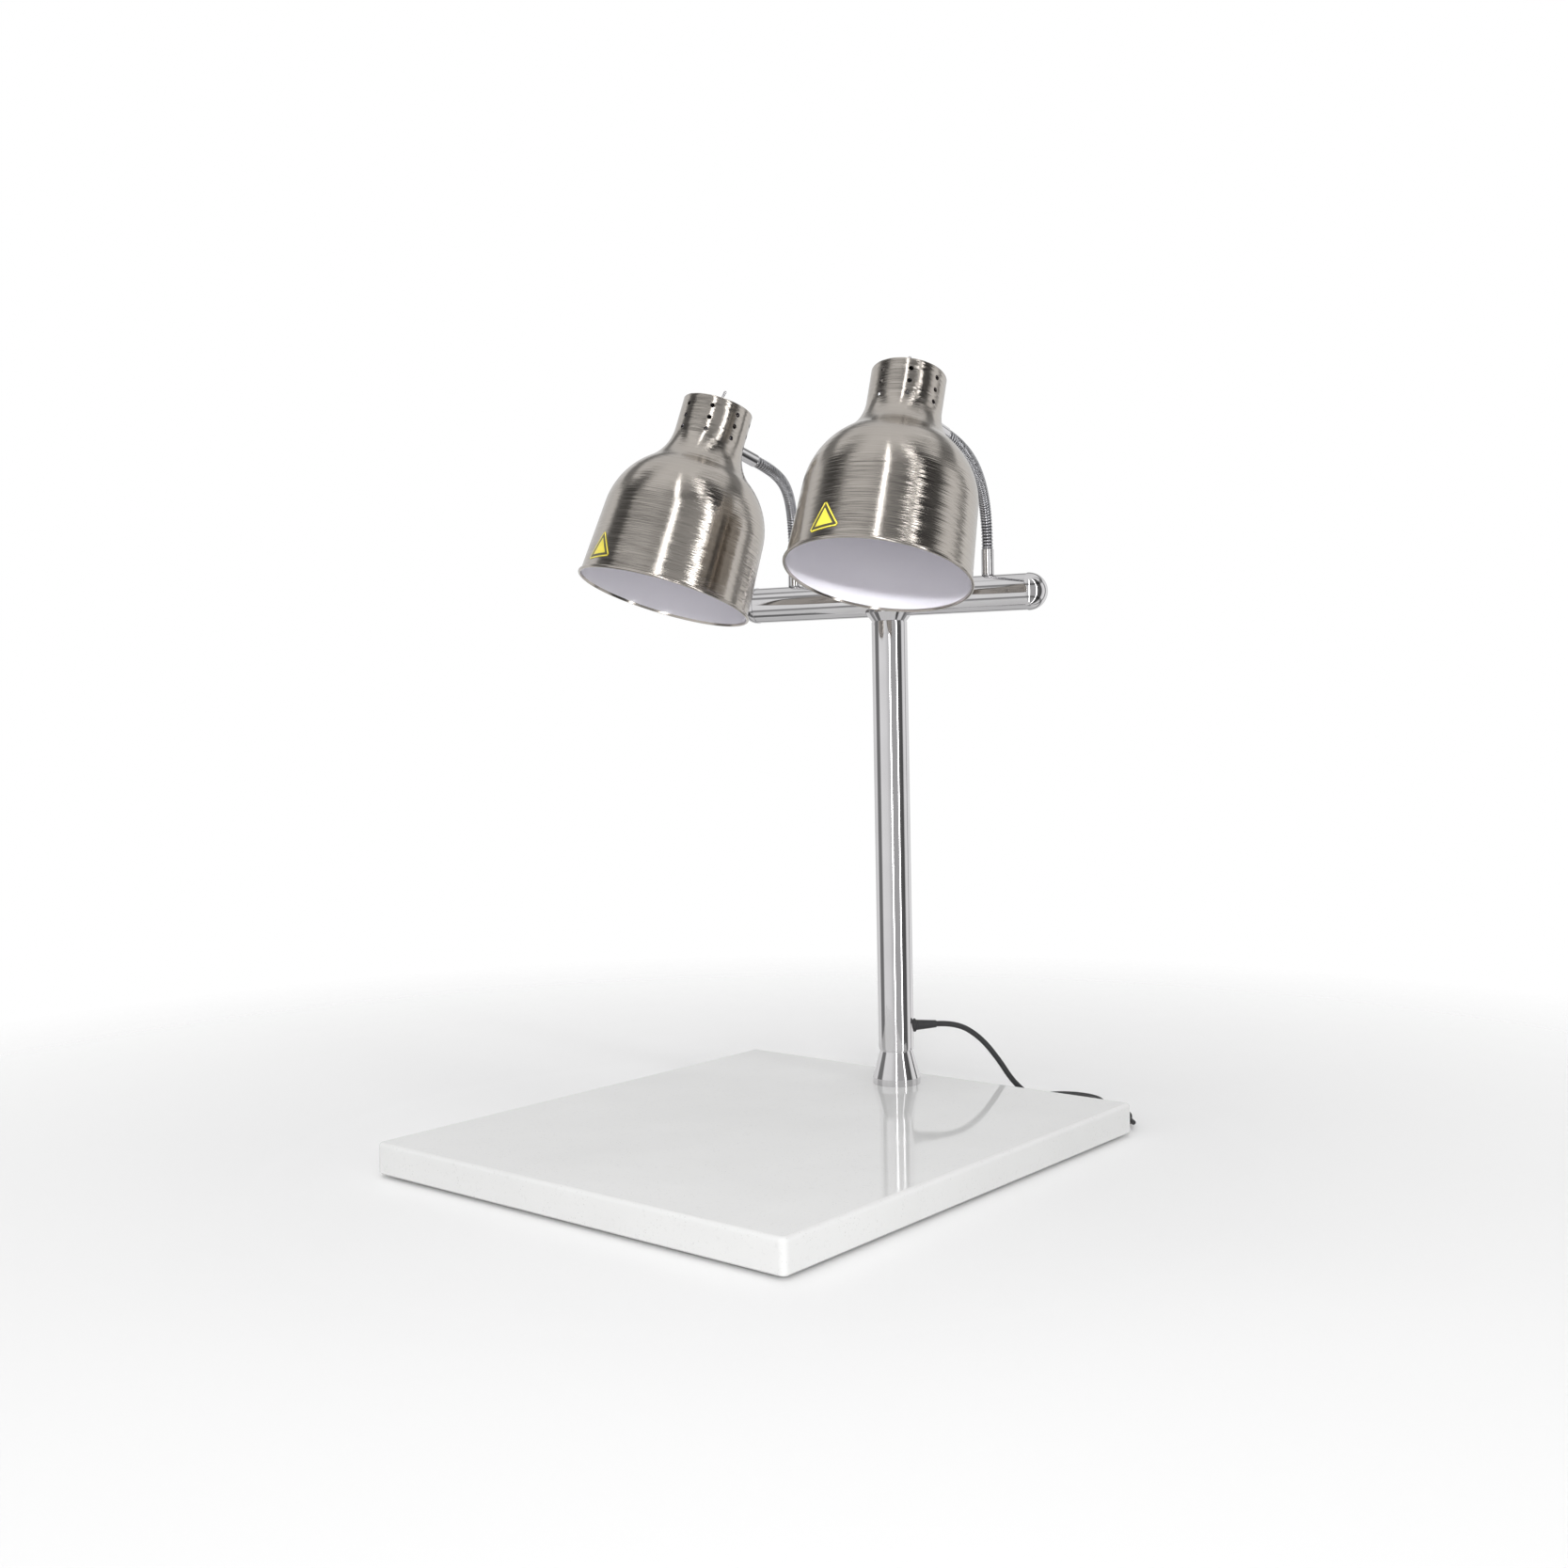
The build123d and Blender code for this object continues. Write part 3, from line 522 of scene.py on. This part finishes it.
materials.update({
    "black_rubber": rubber(),
    "cord_black": rubber("cord_sheath"),
    "black_plastic": moulded_plastic(),
    "lead_sleeve": heat_sleeve(),
})
cord.data.materials.append(materials["cord_black"])
print("finishes", len(bpy.data.materials))


# %% Finishes on the CAD pieces
def finish_cad_nodes():
    for name, node in frame["nodes"].items():
        side = name.split("_")[0]
        for held in node.material_slots:
            if held.material.name == "bulb_glass":
                held.material = bulb_glasses[side]
            elif held.material.name == "brushed_shade":
                held.material = steels[side]
            else:
                held.material = materials[held.material.name]


finish_cad_nodes()
print("CAD nodes", len(frame["nodes"]))

# %% [markdown]
# ## From outline to piece
# Most pieces here are turned on a lathe or wound, so they start as a half outline that is
# spun about an axis. Primitives could be stretched into place, but an outline holds the
# real radii. One function smooths the result, keeps its real corners sharp and lets it
# ride on a body of the frame.


# %% Mesh helpers
merge_distance = 1e-6


def add_piece(name, mesh, body, finishes, corner=35, place=None):
    """Make an object of a bmesh, put it in place and let it ride on a body."""
    if place is not None:
        bmesh.ops.transform(mesh, matrix=place, verts=mesh.verts)
    mesh.normal_update()
    for face in mesh.faces:
        face.smooth = True
    for edge in mesh.edges:
        folded = len(edge.link_faces) == 2 and edge.calc_face_angle(0) > math.radians(corner)
        edge.smooth = not folded
    data = bpy.data.meshes.new(name)
    mesh.to_mesh(data)
    mesh.free()
    for finish in finishes:
        data.materials.append(finish)
    piece = bpy.data.objects.new(name, data)
    bpy.context.scene.collection.objects.link(piece)
    if body:
        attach(piece, body)
    return piece


def arc(middle, radius, start, sweep, steps):
    """Points on an arc, from its start on, angles in degrees."""
    angles = [math.radians(start + sweep * step / steps) for step in range(steps + 1)]
    return [(middle[0] + radius * math.cos(a), middle[1] + radius * math.sin(a)) for a in angles]


def line(start, end, steps):
    """Evenly spaced points on a line, both ends included."""
    return [tuple(Vector(start).lerp(Vector(end), step / steps)) for step in range(steps + 1)]


def spin_outline(mesh, outline, closed, steps=96):
    """Turn an outline of (radius, height) points about the z axis."""
    verts = [mesh.verts.new((radius, 0, height)) for radius, height in outline]
    edges = [mesh.edges.new(pair) for pair in zip(verts, verts[1:])]
    if closed:
        edges.append(mesh.edges.new((verts[-1], verts[0])))
    bmesh.ops.spin(
        mesh, geom=verts + edges, cent=(0, 0, 0), axis=(0, 0, 1), dvec=(0, 0, 0),
        angle=2 * math.pi, steps=steps, use_merge=True, use_duplicate=False,
    )
    bmesh.ops.remove_doubles(mesh, verts=mesh.verts, dist=merge_distance)
    bmesh.ops.recalc_face_normals(mesh, faces=mesh.faces)


def cut_holes(piece, cutter):
    """Take the cutter's solids out of a piece, and remove the cutter."""
    boolean = piece.modifiers.new("holes", "BOOLEAN")
    boolean.object = cutter
    boolean.operation = "DIFFERENCE"
    boolean.solver = "EXACT"
    graph = bpy.context.evaluated_depsgraph_get()
    cut = bpy.data.meshes.new_from_object(piece.evaluated_get(graph))
    piece.modifiers.clear()
    piece.data = cut
    bpy.data.objects.remove(cutter)


print("mesh helpers ready")

# %% [markdown]
# ## The bells
# A bell is one sheet: a straight neck, a hollow curve out of it, a round dome and a
# nearly straight skirt that ends in a rolled rim. Two spheres and a tube would meet in
# creases, so the outline runs along true arcs. It is drawn down the outside, round the
# rim and back up the inside, which gives the sheet its thickness in one spin.

# %% Bell outline
sheet = 0.001
neck_radius, neck_length = 0.035, 0.032
waist_radius, waist_sweep = 0.049, 50.7
dome_radius, skirt_flare = 0.075, 3.3
skirt_end = -0.1965
rim_radius, rim_height, rim_offset = 0.0016, -0.1972, 0.0005
rim_start, rim_sweep = 118, -236
neck_drop, lip_round = 0.0004, 0.0002
neck_steps, waist_steps, dome_steps, skirt_steps, rim_steps = 26, 22, 26, 14, 22
waist_middle = (neck_radius + waist_radius, -neck_length)
waist_end = math.radians(180 + waist_sweep)
skirt_slope = math.tan(math.radians(skirt_flare))
dome_middle = (
    waist_middle[0] + (waist_radius + dome_radius) * math.cos(waist_end),
    waist_middle[1] + (waist_radius + dome_radius) * math.sin(waist_end),
)


def bell_side(inset):
    """The outline of one face of the sheet, from the neck's top to the skirt's end."""
    radius = neck_radius - inset
    neck = line((radius, -neck_drop), (radius, -neck_length), neck_steps)
    waist = arc(waist_middle, waist_radius + inset, 180, waist_sweep, waist_steps)
    dome_sweep = skirt_flare - waist_sweep
    dome = arc(dome_middle, dome_radius - inset, waist_sweep, dome_sweep, dome_steps)
    foot = (dome[-1][0] + (dome[-1][1] - skirt_end) * skirt_slope, skirt_end)
    return neck[:-1] + waist[:-1] + dome[:-1] + line(dome[-1], foot, skirt_steps)


outer_side = bell_side(0)
inner_side = bell_side(sheet)
rim_middle = (outer_side[-1][0] + rim_offset, rim_height)
rim = arc(rim_middle, rim_radius, rim_start, rim_sweep, rim_steps)
neck_lip = [(neck_radius - lip_round, 0), (neck_radius - sheet + lip_round, 0)]
print("bell radius over the rim", round(rim_middle[0] + rim_radius, 4))


# %% Bells
bell_steps = 144
vent_depths, vent_radius = (0.010, 0.022, 0.034), 0.0023
hole_columns, entry_radius = 8, 0.005
cutter_length, cutter_sides = 0.012, 28
waist_bottom, mouth_radius, under_facing = -0.075, 0.083, -0.2


def bell_radius(depth):
    """The outside radius of the skirt and dome at a depth below the neck's top."""
    below = min(outer_side, key=lambda point: abs(point[1] + depth))
    return below[0]


def vent_cutter():
    """Seven columns of three vent holes, and the hole where the arm comes in."""
    mesh = bmesh.new()
    entry = [(entry_depth, entry_radius)]
    vents = [(depth, vent_radius) for depth in vent_depths]
    sideways = Matrix.Rotation(math.pi / 2, 4, "Y")
    for column in range(hole_columns):
        turn = Matrix.Rotation(math.radians(360 / hole_columns * column), 4, "Z")
        for depth, radius in vents if column else entry:
            lie = Matrix.Translation((neck_radius, 0, -depth)) @ sideways
            bmesh.ops.create_cone(
                mesh, cap_ends=True, segments=cutter_sides, radius1=radius, radius2=radius,
                depth=cutter_length, matrix=turn @ lie,
            )
    return add_piece("cutter", mesh, None, [])


def is_enamelled(face):
    """Whether a face of the bell is on the inside of the sheet."""
    middle = face.calc_center_median()
    radius = math.hypot(middle.x, middle.y)
    inward = face.normal.x * middle.x + face.normal.y * middle.y < 0
    under = face.normal.z < under_facing and middle.z > skirt_end and radius < mouth_radius
    inside = (inward or under) and middle.z > skirt_end - 0.5 * sheet
    outside_waist = waist_bottom < middle.z < -neck_length and face.normal.z > 0
    return inside and not outside_waist


def add_bell(side):
    """Spin the sheet, cut its holes, and add it again in the lamp's own place."""
    mesh = bmesh.new()
    outline = outer_side + rim + inner_side[::-1] + neck_lip[::-1]
    spin_outline(mesh, outline, closed=True, steps=bell_steps)
    for face in mesh.faces:
        face.material_index = 1 if is_enamelled(face) else 0
    finishes = [steels[side], white_enamel]
    piece = add_piece(f"{side}_bell", mesh, None, finishes)
    cut_holes(piece, vent_cutter())
    whole = bmesh.new()
    whole.from_mesh(piece.data)
    bpy.data.objects.remove(piece)
    bell = add_piece(f"{side}_bell", whole, f"{side}_lamp", finishes, place=lamps[side])
    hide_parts(f"{side}_shade")
    return bell


bells = {side: add_bell(side) for side in lamps}
print("bell faces", {side: len(bell.data.polygons) for side, bell in bells.items()})

# %% [markdown]
# ## The flexible arms
# Each arm is a wound steel hose, a tube with close ribs that holds where it is bent. CAD
# has it as four stiff links, for the joints. One hose could be drawn over them, but a
# piece may bend across one joint only, so the hose is made in five lengths that meet in
# the middle of the links.

# %% Hose path
arm_handles = {"left": (0.082, 0.048), "right": (0.070, 0.046)}
hose_radius, hose_groove = 0.0060, 0.0048
rib_pitch = 0.0035
rings_per_rib, hose_sides = 8, 24
rib_fullness = 0.6
hose_crease = 80
path_samples = 1200
hose_joints = ["bend_1", "sway_1", "bend_2", "sway_2", "bend_3"]


def hose_path(side):
    """Evenly spaced points along the arm, and the place of each joint among them."""
    places = [Vector(joints[f"{side}_arm_{name}"]["pos_m"]) for name in hose_joints]
    lift, reach = arm_handles[side]
    first = places[0] + Vector((0, 0, lift))
    last = places[-1] + lamps[side].col[0].xyz * reach
    fine = interpolate_bezier(places[0], first, last, places[-1], path_samples)
    length = sum((b - a).length for a, b in zip(fine, fine[1:]))
    ribs = round(length / rib_pitch)
    spacing = length / (ribs * rings_per_rib)
    path, run = [fine[0]], 0.0
    for a, b in zip(fine, fine[1:]):
        run += (b - a).length
        if run >= spacing * len(path) - 1e-9 and len(path) < ribs * rings_per_rib:
            path.append(b)
    path.append(fine[-1])
    marks = [min(range(len(path)), key=lambda i: (path[i] - place).length) for place in places]
    return path, marks


arm_paths = {side: hose_path(side) for side in lamps}
print("rings along each arm", {side: len(path) for side, (path, _) in arm_paths.items()})


# %% Hose lengths
def rib_share(index):
    """How far a ring stands out of the groove, 0 in it and 1 on top of a rib."""
    phase = 2 * math.pi * (index % rings_per_rib) / rings_per_rib
    return ((1 - math.cos(phase)) / 2) ** rib_fullness


def ring_radius(index):
    return hose_groove + (hose_radius - hose_groove) * rib_share(index)


# The rib share stored on the rings also drives the painted shade in the grooves.
def mark_rib(verts, layer, index):
    for vert in verts:
        vert[layer] = rib_share(index)


def wind_hose(path, first, last):
    """A ribbed tube along the path, made by extruding one ring from point to point."""
    mesh = bmesh.new()
    heading = (path[first + 1] - path[first]).normalized()
    turn = Vector((0, 0, 1)).rotation_difference(heading).to_matrix().to_4x4()
    start = Matrix.Translation(path[first]) @ turn
    radius = ring_radius(first)
    rib = mesh.verts.layers.float.new("rib")
    bmesh.ops.create_circle(
        mesh, cap_ends=False, segments=hose_sides, radius=radius, matrix=start
    )
    mark_rib(mesh.verts, rib, first)
    ring = list(mesh.edges)
    for index in range(first + 1, last + 1):
        ahead = path[min(index + 1, len(path) - 1)] - path[index - 1]
        onward = ahead.normalized()
        made = bmesh.ops.extrude_edge_only(mesh, edges=ring)["geom"]
        ring = [item for item in made if isinstance(item, bmesh.types.BMEdge)]
        verts = [item for item in made if isinstance(item, bmesh.types.BMVert)]
        bend = heading.rotation_difference(onward).to_matrix().to_4x4()
        grow = Matrix.Scale(ring_radius(index) / radius, 4)
        back = Matrix.Translation(-path[index - 1])
        move = Matrix.Translation(path[index]) @ bend @ grow @ back
        bmesh.ops.transform(mesh, matrix=move, verts=verts)
        mark_rib(verts, rib, index)
        heading, radius = onward, ring_radius(index)
    bmesh.ops.recalc_face_normals(mesh, faces=mesh.faces)
    return mesh


def add_hose(side):
    """Five lengths, cut between ribs halfway from joint to joint, one over each joint."""
    path, marks = arm_paths[side]
    halfway = [(a + b) // 2 for a, b in zip(marks, marks[1:])]
    edges = [0] + [ring // rings_per_rib * rings_per_rib for ring in halfway] + [len(path) - 1]
    links = len(halfway)
    arm_bodies = [f"{side}_arm_{link + 1}" for link in range(links)]
    bodies = ["crossbar"] + arm_bodies + [f"{side}_lamp"]
    lengths = []
    for number, (first, last) in enumerate(zip(edges, edges[1:])):
        mesh = wind_hose(path, first, last)
        finishes = [materials["conduit_steel"]]
        piece = add_piece(f"{side}_hose_{number + 1}", mesh, None, finishes, hose_crease)
        keep = rings_per_rib if last - first > 4 * rings_per_rib else 1
        start = path[first + (keep if number else 0)]
        end = path[last - (keep if number < links else 0)]
        bodies[number + 1]
        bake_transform(piece)
        if number < links:
            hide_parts(f"{side}_arm_link_{number + 1}")
        lengths.append(piece)
    return lengths


hoses = {side: add_hose(side) for side in lamps}
print("hose lengths", {side: len(pieces) for side, pieces in hoses.items()})

# %% [markdown]
# ## The warning triangle
# Each bell has a small printed triangle low on its front. It carries no sign here, only a
# plain yellow face with a dark border. It could be painted into the steel, but a real one
# is a label with an edge, so it is a thin sheet, cut flat and then wrapped on the bell.

# %% Label finishes and shape
label_side = 0.032
label_margin, label_border = 0.0013, 0.0038
label_depth = 0.179
label_tilt = 6
label_sheet, label_lift = 0.00025, 0.0001
label_corner_cut = 0.0022
label_cells, label_grid = 26, 0.62
label_crease = 50
label_facing = {"left": 178, "right": 184}


def vinyl(name, color, worn):
    finish = Finish(name, color, roughness=0.35, Coat_Weight=0.3)
    print_grain = finish.noise(size=0.003, detail=4.0)
    finish.set(Base_Color=finish.mix(print_grain, color, worn))
    finish.set(Roughness=finish.ramp(print_grain, (0.3, 0.28), (0.8, 0.45)))
    return finish.material


label_yellow = vinyl("label_yellow", (0.70, 0.60, 0.06), (0.64, 0.54, 0.06))
label_black = vinyl("label_border", (0.035, 0.033, 0.02), (0.08, 0.075, 0.05))
print("label finishes", label_yellow.name, label_black.name)


def triangle_sides(inset):
    """A point and an outward direction for each side of the triangle."""
    reach = label_side / (2 * math.sqrt(3)) - inset
    angles = [math.radians(angle) for angle in (-90, 30, 150)]
    directions = [Vector((math.cos(angle), math.sin(angle), 0)) for angle in angles]
    return [(direction * reach, direction) for direction in directions]


# %% Labels
def within(point, inset):
    return all((point - place).dot(direction) < 0 for place, direction in triangle_sides(inset))


def cut(mesh, place, direction, clear):
    bmesh.ops.bisect_plane(
        mesh, geom=mesh.verts[:] + mesh.edges[:] + mesh.faces[:], dist=merge_distance,
        plane_co=place, plane_no=direction, clear_outer=clear,
    )


def add_label(side):
    mesh = bmesh.new()
    half = label_side * label_grid
    bmesh.ops.create_grid(mesh, x_segments=label_cells, y_segments=label_cells, size=half)
    for place, direction in triangle_sides(0):
        cut(mesh, place, direction, True)
    reach = label_side / math.sqrt(3) - label_corner_cut
    for _, direction in triangle_sides(0):
        cut(mesh, -direction * reach, -direction, True)
    for inset in (label_margin, label_border):
        for place, direction in triangle_sides(inset):
            cut(mesh, place, direction, False)
    for face in mesh.faces:
        middle = face.calc_center_median()
        bordered = within(middle, label_margin) and not within(middle, label_border)
        face.material_index = 1 if bordered else 0
    bmesh.ops.solidify(mesh, geom=mesh.faces[:], thickness=label_sheet)
    tilt = Matrix.Rotation(math.radians(label_tilt), 3, "Z")
    bmesh.ops.rotate(mesh, cent=(0, 0, 0), matrix=tilt, verts=mesh.verts)
    middle_angle = math.radians(label_facing[side])
    middle_radius = bell_radius(label_depth)
    for vert in mesh.verts:
        depth = label_depth - vert.co.y
        radius = middle_radius + (depth - label_depth) * skirt_slope
        angle = middle_angle + vert.co.x / radius
        out = radius + label_lift + abs(vert.co.z)
        vert.co = (out * math.cos(angle), out * math.sin(angle), -depth)
    bmesh.ops.recalc_face_normals(mesh, faces=mesh.faces)
    finishes = [label_yellow, label_black]
    name, body = f"{side}_warning_label", f"{side}_lamp"
    return add_piece(name, mesh, body, finishes, label_crease, lamps[side])


labels = [add_label(side) for side in lamps]
print("labels", [label.name for label in labels])

# %% [markdown]
# ## Floor, light and surroundings
# Polished metal shows whatever stands round it, so a studio surrounds it with large soft
# boxes and leaves darker gaps between them. Real cards would hide the object from other
# sides. The world's colour stands for them, as tall bands by compass direction, with
# dark gaps by height above and below the walls, and the camera itself sees plain white.
# Two thin bands are very bright, and draw the two streaks down each bell.

# %% Surroundings
band_stops = [
    (-180, 0.85), (-166, 0.85), (-160, 0.22), (-134, 0.20), (-126, 0.90), (-84, 0.85),
    (-62, 0.62), (-58, 0.60), (-56.3, 9.0), (-53.7, 9.0), (-52, 0.46), (-16, 0.46),
    (-12, 0.50), (-10.2, 8.0), (-8.0, 8.0), (-6.2, 0.14), (24, 0.09), (32, 0.85),
    (52, 0.95), (56, 0.30), (64, 0.30), (68, 0.95), (106, 0.76), (150, 0.76),
]
gap_stops = [
    (-1, 0.80), (-0.70, 0.80), (-0.64, 0.35), (-0.54, 0.35), (-0.48, 1.0),
    (0.50, 1.0), (0.56, 0.35), (0.68, 0.35), (0.74, 1.0),
]
ceiling_color, ceiling_start, ceiling_full = (0.85, 0.85, 0.85, 1), 0.86, 0.98


def set_ramp(ramp, stops, low, high):
    """Brightness at the places in stops, on a ramp that runs from low to high."""
    while len(ramp.elements) < len(stops):
        ramp.elements.new(0.5)
    for element, (place, amount) in zip(ramp.elements, stops):
        element.position = (place - low) / (high - low)
        element.color = (amount, amount, amount, 1)


def add_world():
    """Bands by compass direction, 0 towards +X, and gaps by height, -1 straight down."""
    world = bpy.data.worlds.new("studio")
    world.use_nodes = True
    tree = world.node_tree
    tree.nodes.clear()
    links = tree.links

    def new(kind, **settings):
        made = tree.nodes.new("ShaderNode" + kind)
        for label, value in settings.items():
            setattr(made, label, value)
        return made

    def new_share(value, **limits):
        """How far value lies from the lower limit to the upper, which are 0 and 1."""
        share = new("MapRange")
        for label, limit in limits.items():
            share.inputs["From " + label.capitalize()].default_value = limit
        links.new(value, share.inputs["Value"])
        return share.outputs[0]

    place = new("TexCoord")
    parts = new("SeparateXYZ")
    links.new(place.outputs["Generated"], parts.inputs[0])
    height = parts.outputs["Z"]
    compass = new("Math", operation="ARCTAN2")
    links.new(parts.outputs["Y"], compass.inputs[0])
    links.new(parts.outputs["X"], compass.inputs[1])
    bands = new("ValToRGB")
    set_ramp(bands.color_ramp, band_stops, -180, 180)
    links.new(new_share(compass.outputs[0], min=-math.pi, max=math.pi), bands.inputs[0])
    walls = new("Mix", data_type="RGBA")
    links.new(new_share(height, min=ceiling_start, max=ceiling_full), walls.inputs[0])
    links.new(bands.outputs[0], walls.inputs[6])
    walls.inputs[7].default_value = ceiling_color
    gaps = new("ValToRGB")
    set_ramp(gaps.color_ramp, gap_stops, -1, 1)
    links.new(new_share(height, min=-1), gaps.inputs[0])
    around = new("Background")
    links.new(walls.outputs[2], around.inputs["Color"])
    links.new(gaps.outputs[0], around.inputs["Strength"])
    seen = new("Background")
    seen.inputs["Color"].default_value = (1, 1, 1, 1)
    path = new("LightPath")
    both = new("MixShader")
    links.new(path.outputs["Is Camera Ray"], both.inputs[0])
    links.new(around.outputs[0], both.inputs[1])
    links.new(seen.outputs[0], both.inputs[2])
    out = new("OutputWorld")
    links.new(both.outputs[0], out.inputs[0])
    bpy.context.scene.world = world


add_world()
print("surroundings", len(band_stops), "bands,", len(gap_stops), "heights")

# %% [markdown]
# ## The floor and the lights
# The floor is a pale disc that fades out, so that no horizon shows. A curved backdrop
# would do the same, but it would be in the way of views from behind. The floor and the
# lights are hidden from reflections, where they would cut across the bands. One soft
# light hangs overhead, one stands in front, and a narrow strip aimed at the right bell's
# mouth lights the bright crescent on its enamel.

# %% Floor and lamps of the studio
floor_radius, floor_drop = 4.0, 0.0005
haze_start, haze_full = 0.12, 0.36


def add_floor():
    mesh = bmesh.new()
    bmesh.ops.create_circle(mesh, cap_ends=True, segments=96, radius=floor_radius)
    bmesh.ops.translate(mesh, vec=(0, 0, -floor_drop), verts=mesh.verts)
    finish = Finish("pale_floor", (0.93, 0.93, 0.93), roughness=0.6)
    fleck = finish.noise(size=0.4, detail=3.0)
    finish.set(Base_Color=finish.mix(fleck, (0.92, 0.92, 0.92), (0.94, 0.94, 0.94)))
    distance = finish.node("VectorMath", {"operation": "LENGTH"}, {0: finish.place()}, output=1)
    fade = finish.ramp(distance * (1 / floor_radius), (haze_start, 0.0), (haze_full, 1.0))
    pale = Value(finish, finish.shader.outputs[0])
    clear = finish.node("BsdfTransparent")
    shown = finish.node("MixShader", None, {0: fade, 1: pale, 2: clear})
    finish.tree.links.new(shown.socket, finish.tree.nodes["Material Output"].inputs[0])
    floor = add_piece("floor", mesh, None, [finish.material])
    floor.visible_glossy = False
    return floor


def add_soft_box(name, place, target, size, power, spread=math.pi):
    data = bpy.data.lights.new(name, "AREA")
    data.shape = "RECTANGLE"
    data.size, data.size_y = size
    data.energy = power
    data.spread = spread
    lamp = bpy.data.objects.new(name, data)
    lamp.visible_glossy = False
    aim = (Vector(target) - Vector(place)).to_track_quat("-Z", "Y")
    lamp.matrix_world = Matrix.Translation(place) @ aim.to_matrix().to_4x4()
    bpy.context.scene.collection.objects.link(lamp)


floor = add_floor()
middle = (0, 0.05, 0.35)
right_mouth = (0.08, 0.0, 0.66)
narrow = math.radians(18)
add_soft_box("top_box", (-0.3, -0.4, 2.6), middle, size=(2.2, 2.2), power=10)
add_soft_box("front_box", (1.60, -1.80, 1.12), middle, size=(0.8, 0.3), power=22)
add_soft_box(
    "low_strip", (1.60, -1.80, 0.98), right_mouth, size=(0.4, 0.05), power=0.6, spread=narrow
)
bpy.context.scene.view_settings.view_transform = "Standard"
print("studio ready")

# %% [markdown]
# ## The last update
# The view layer is updated once more at the end.

# %% Last update
bpy.context.view_layer.update()
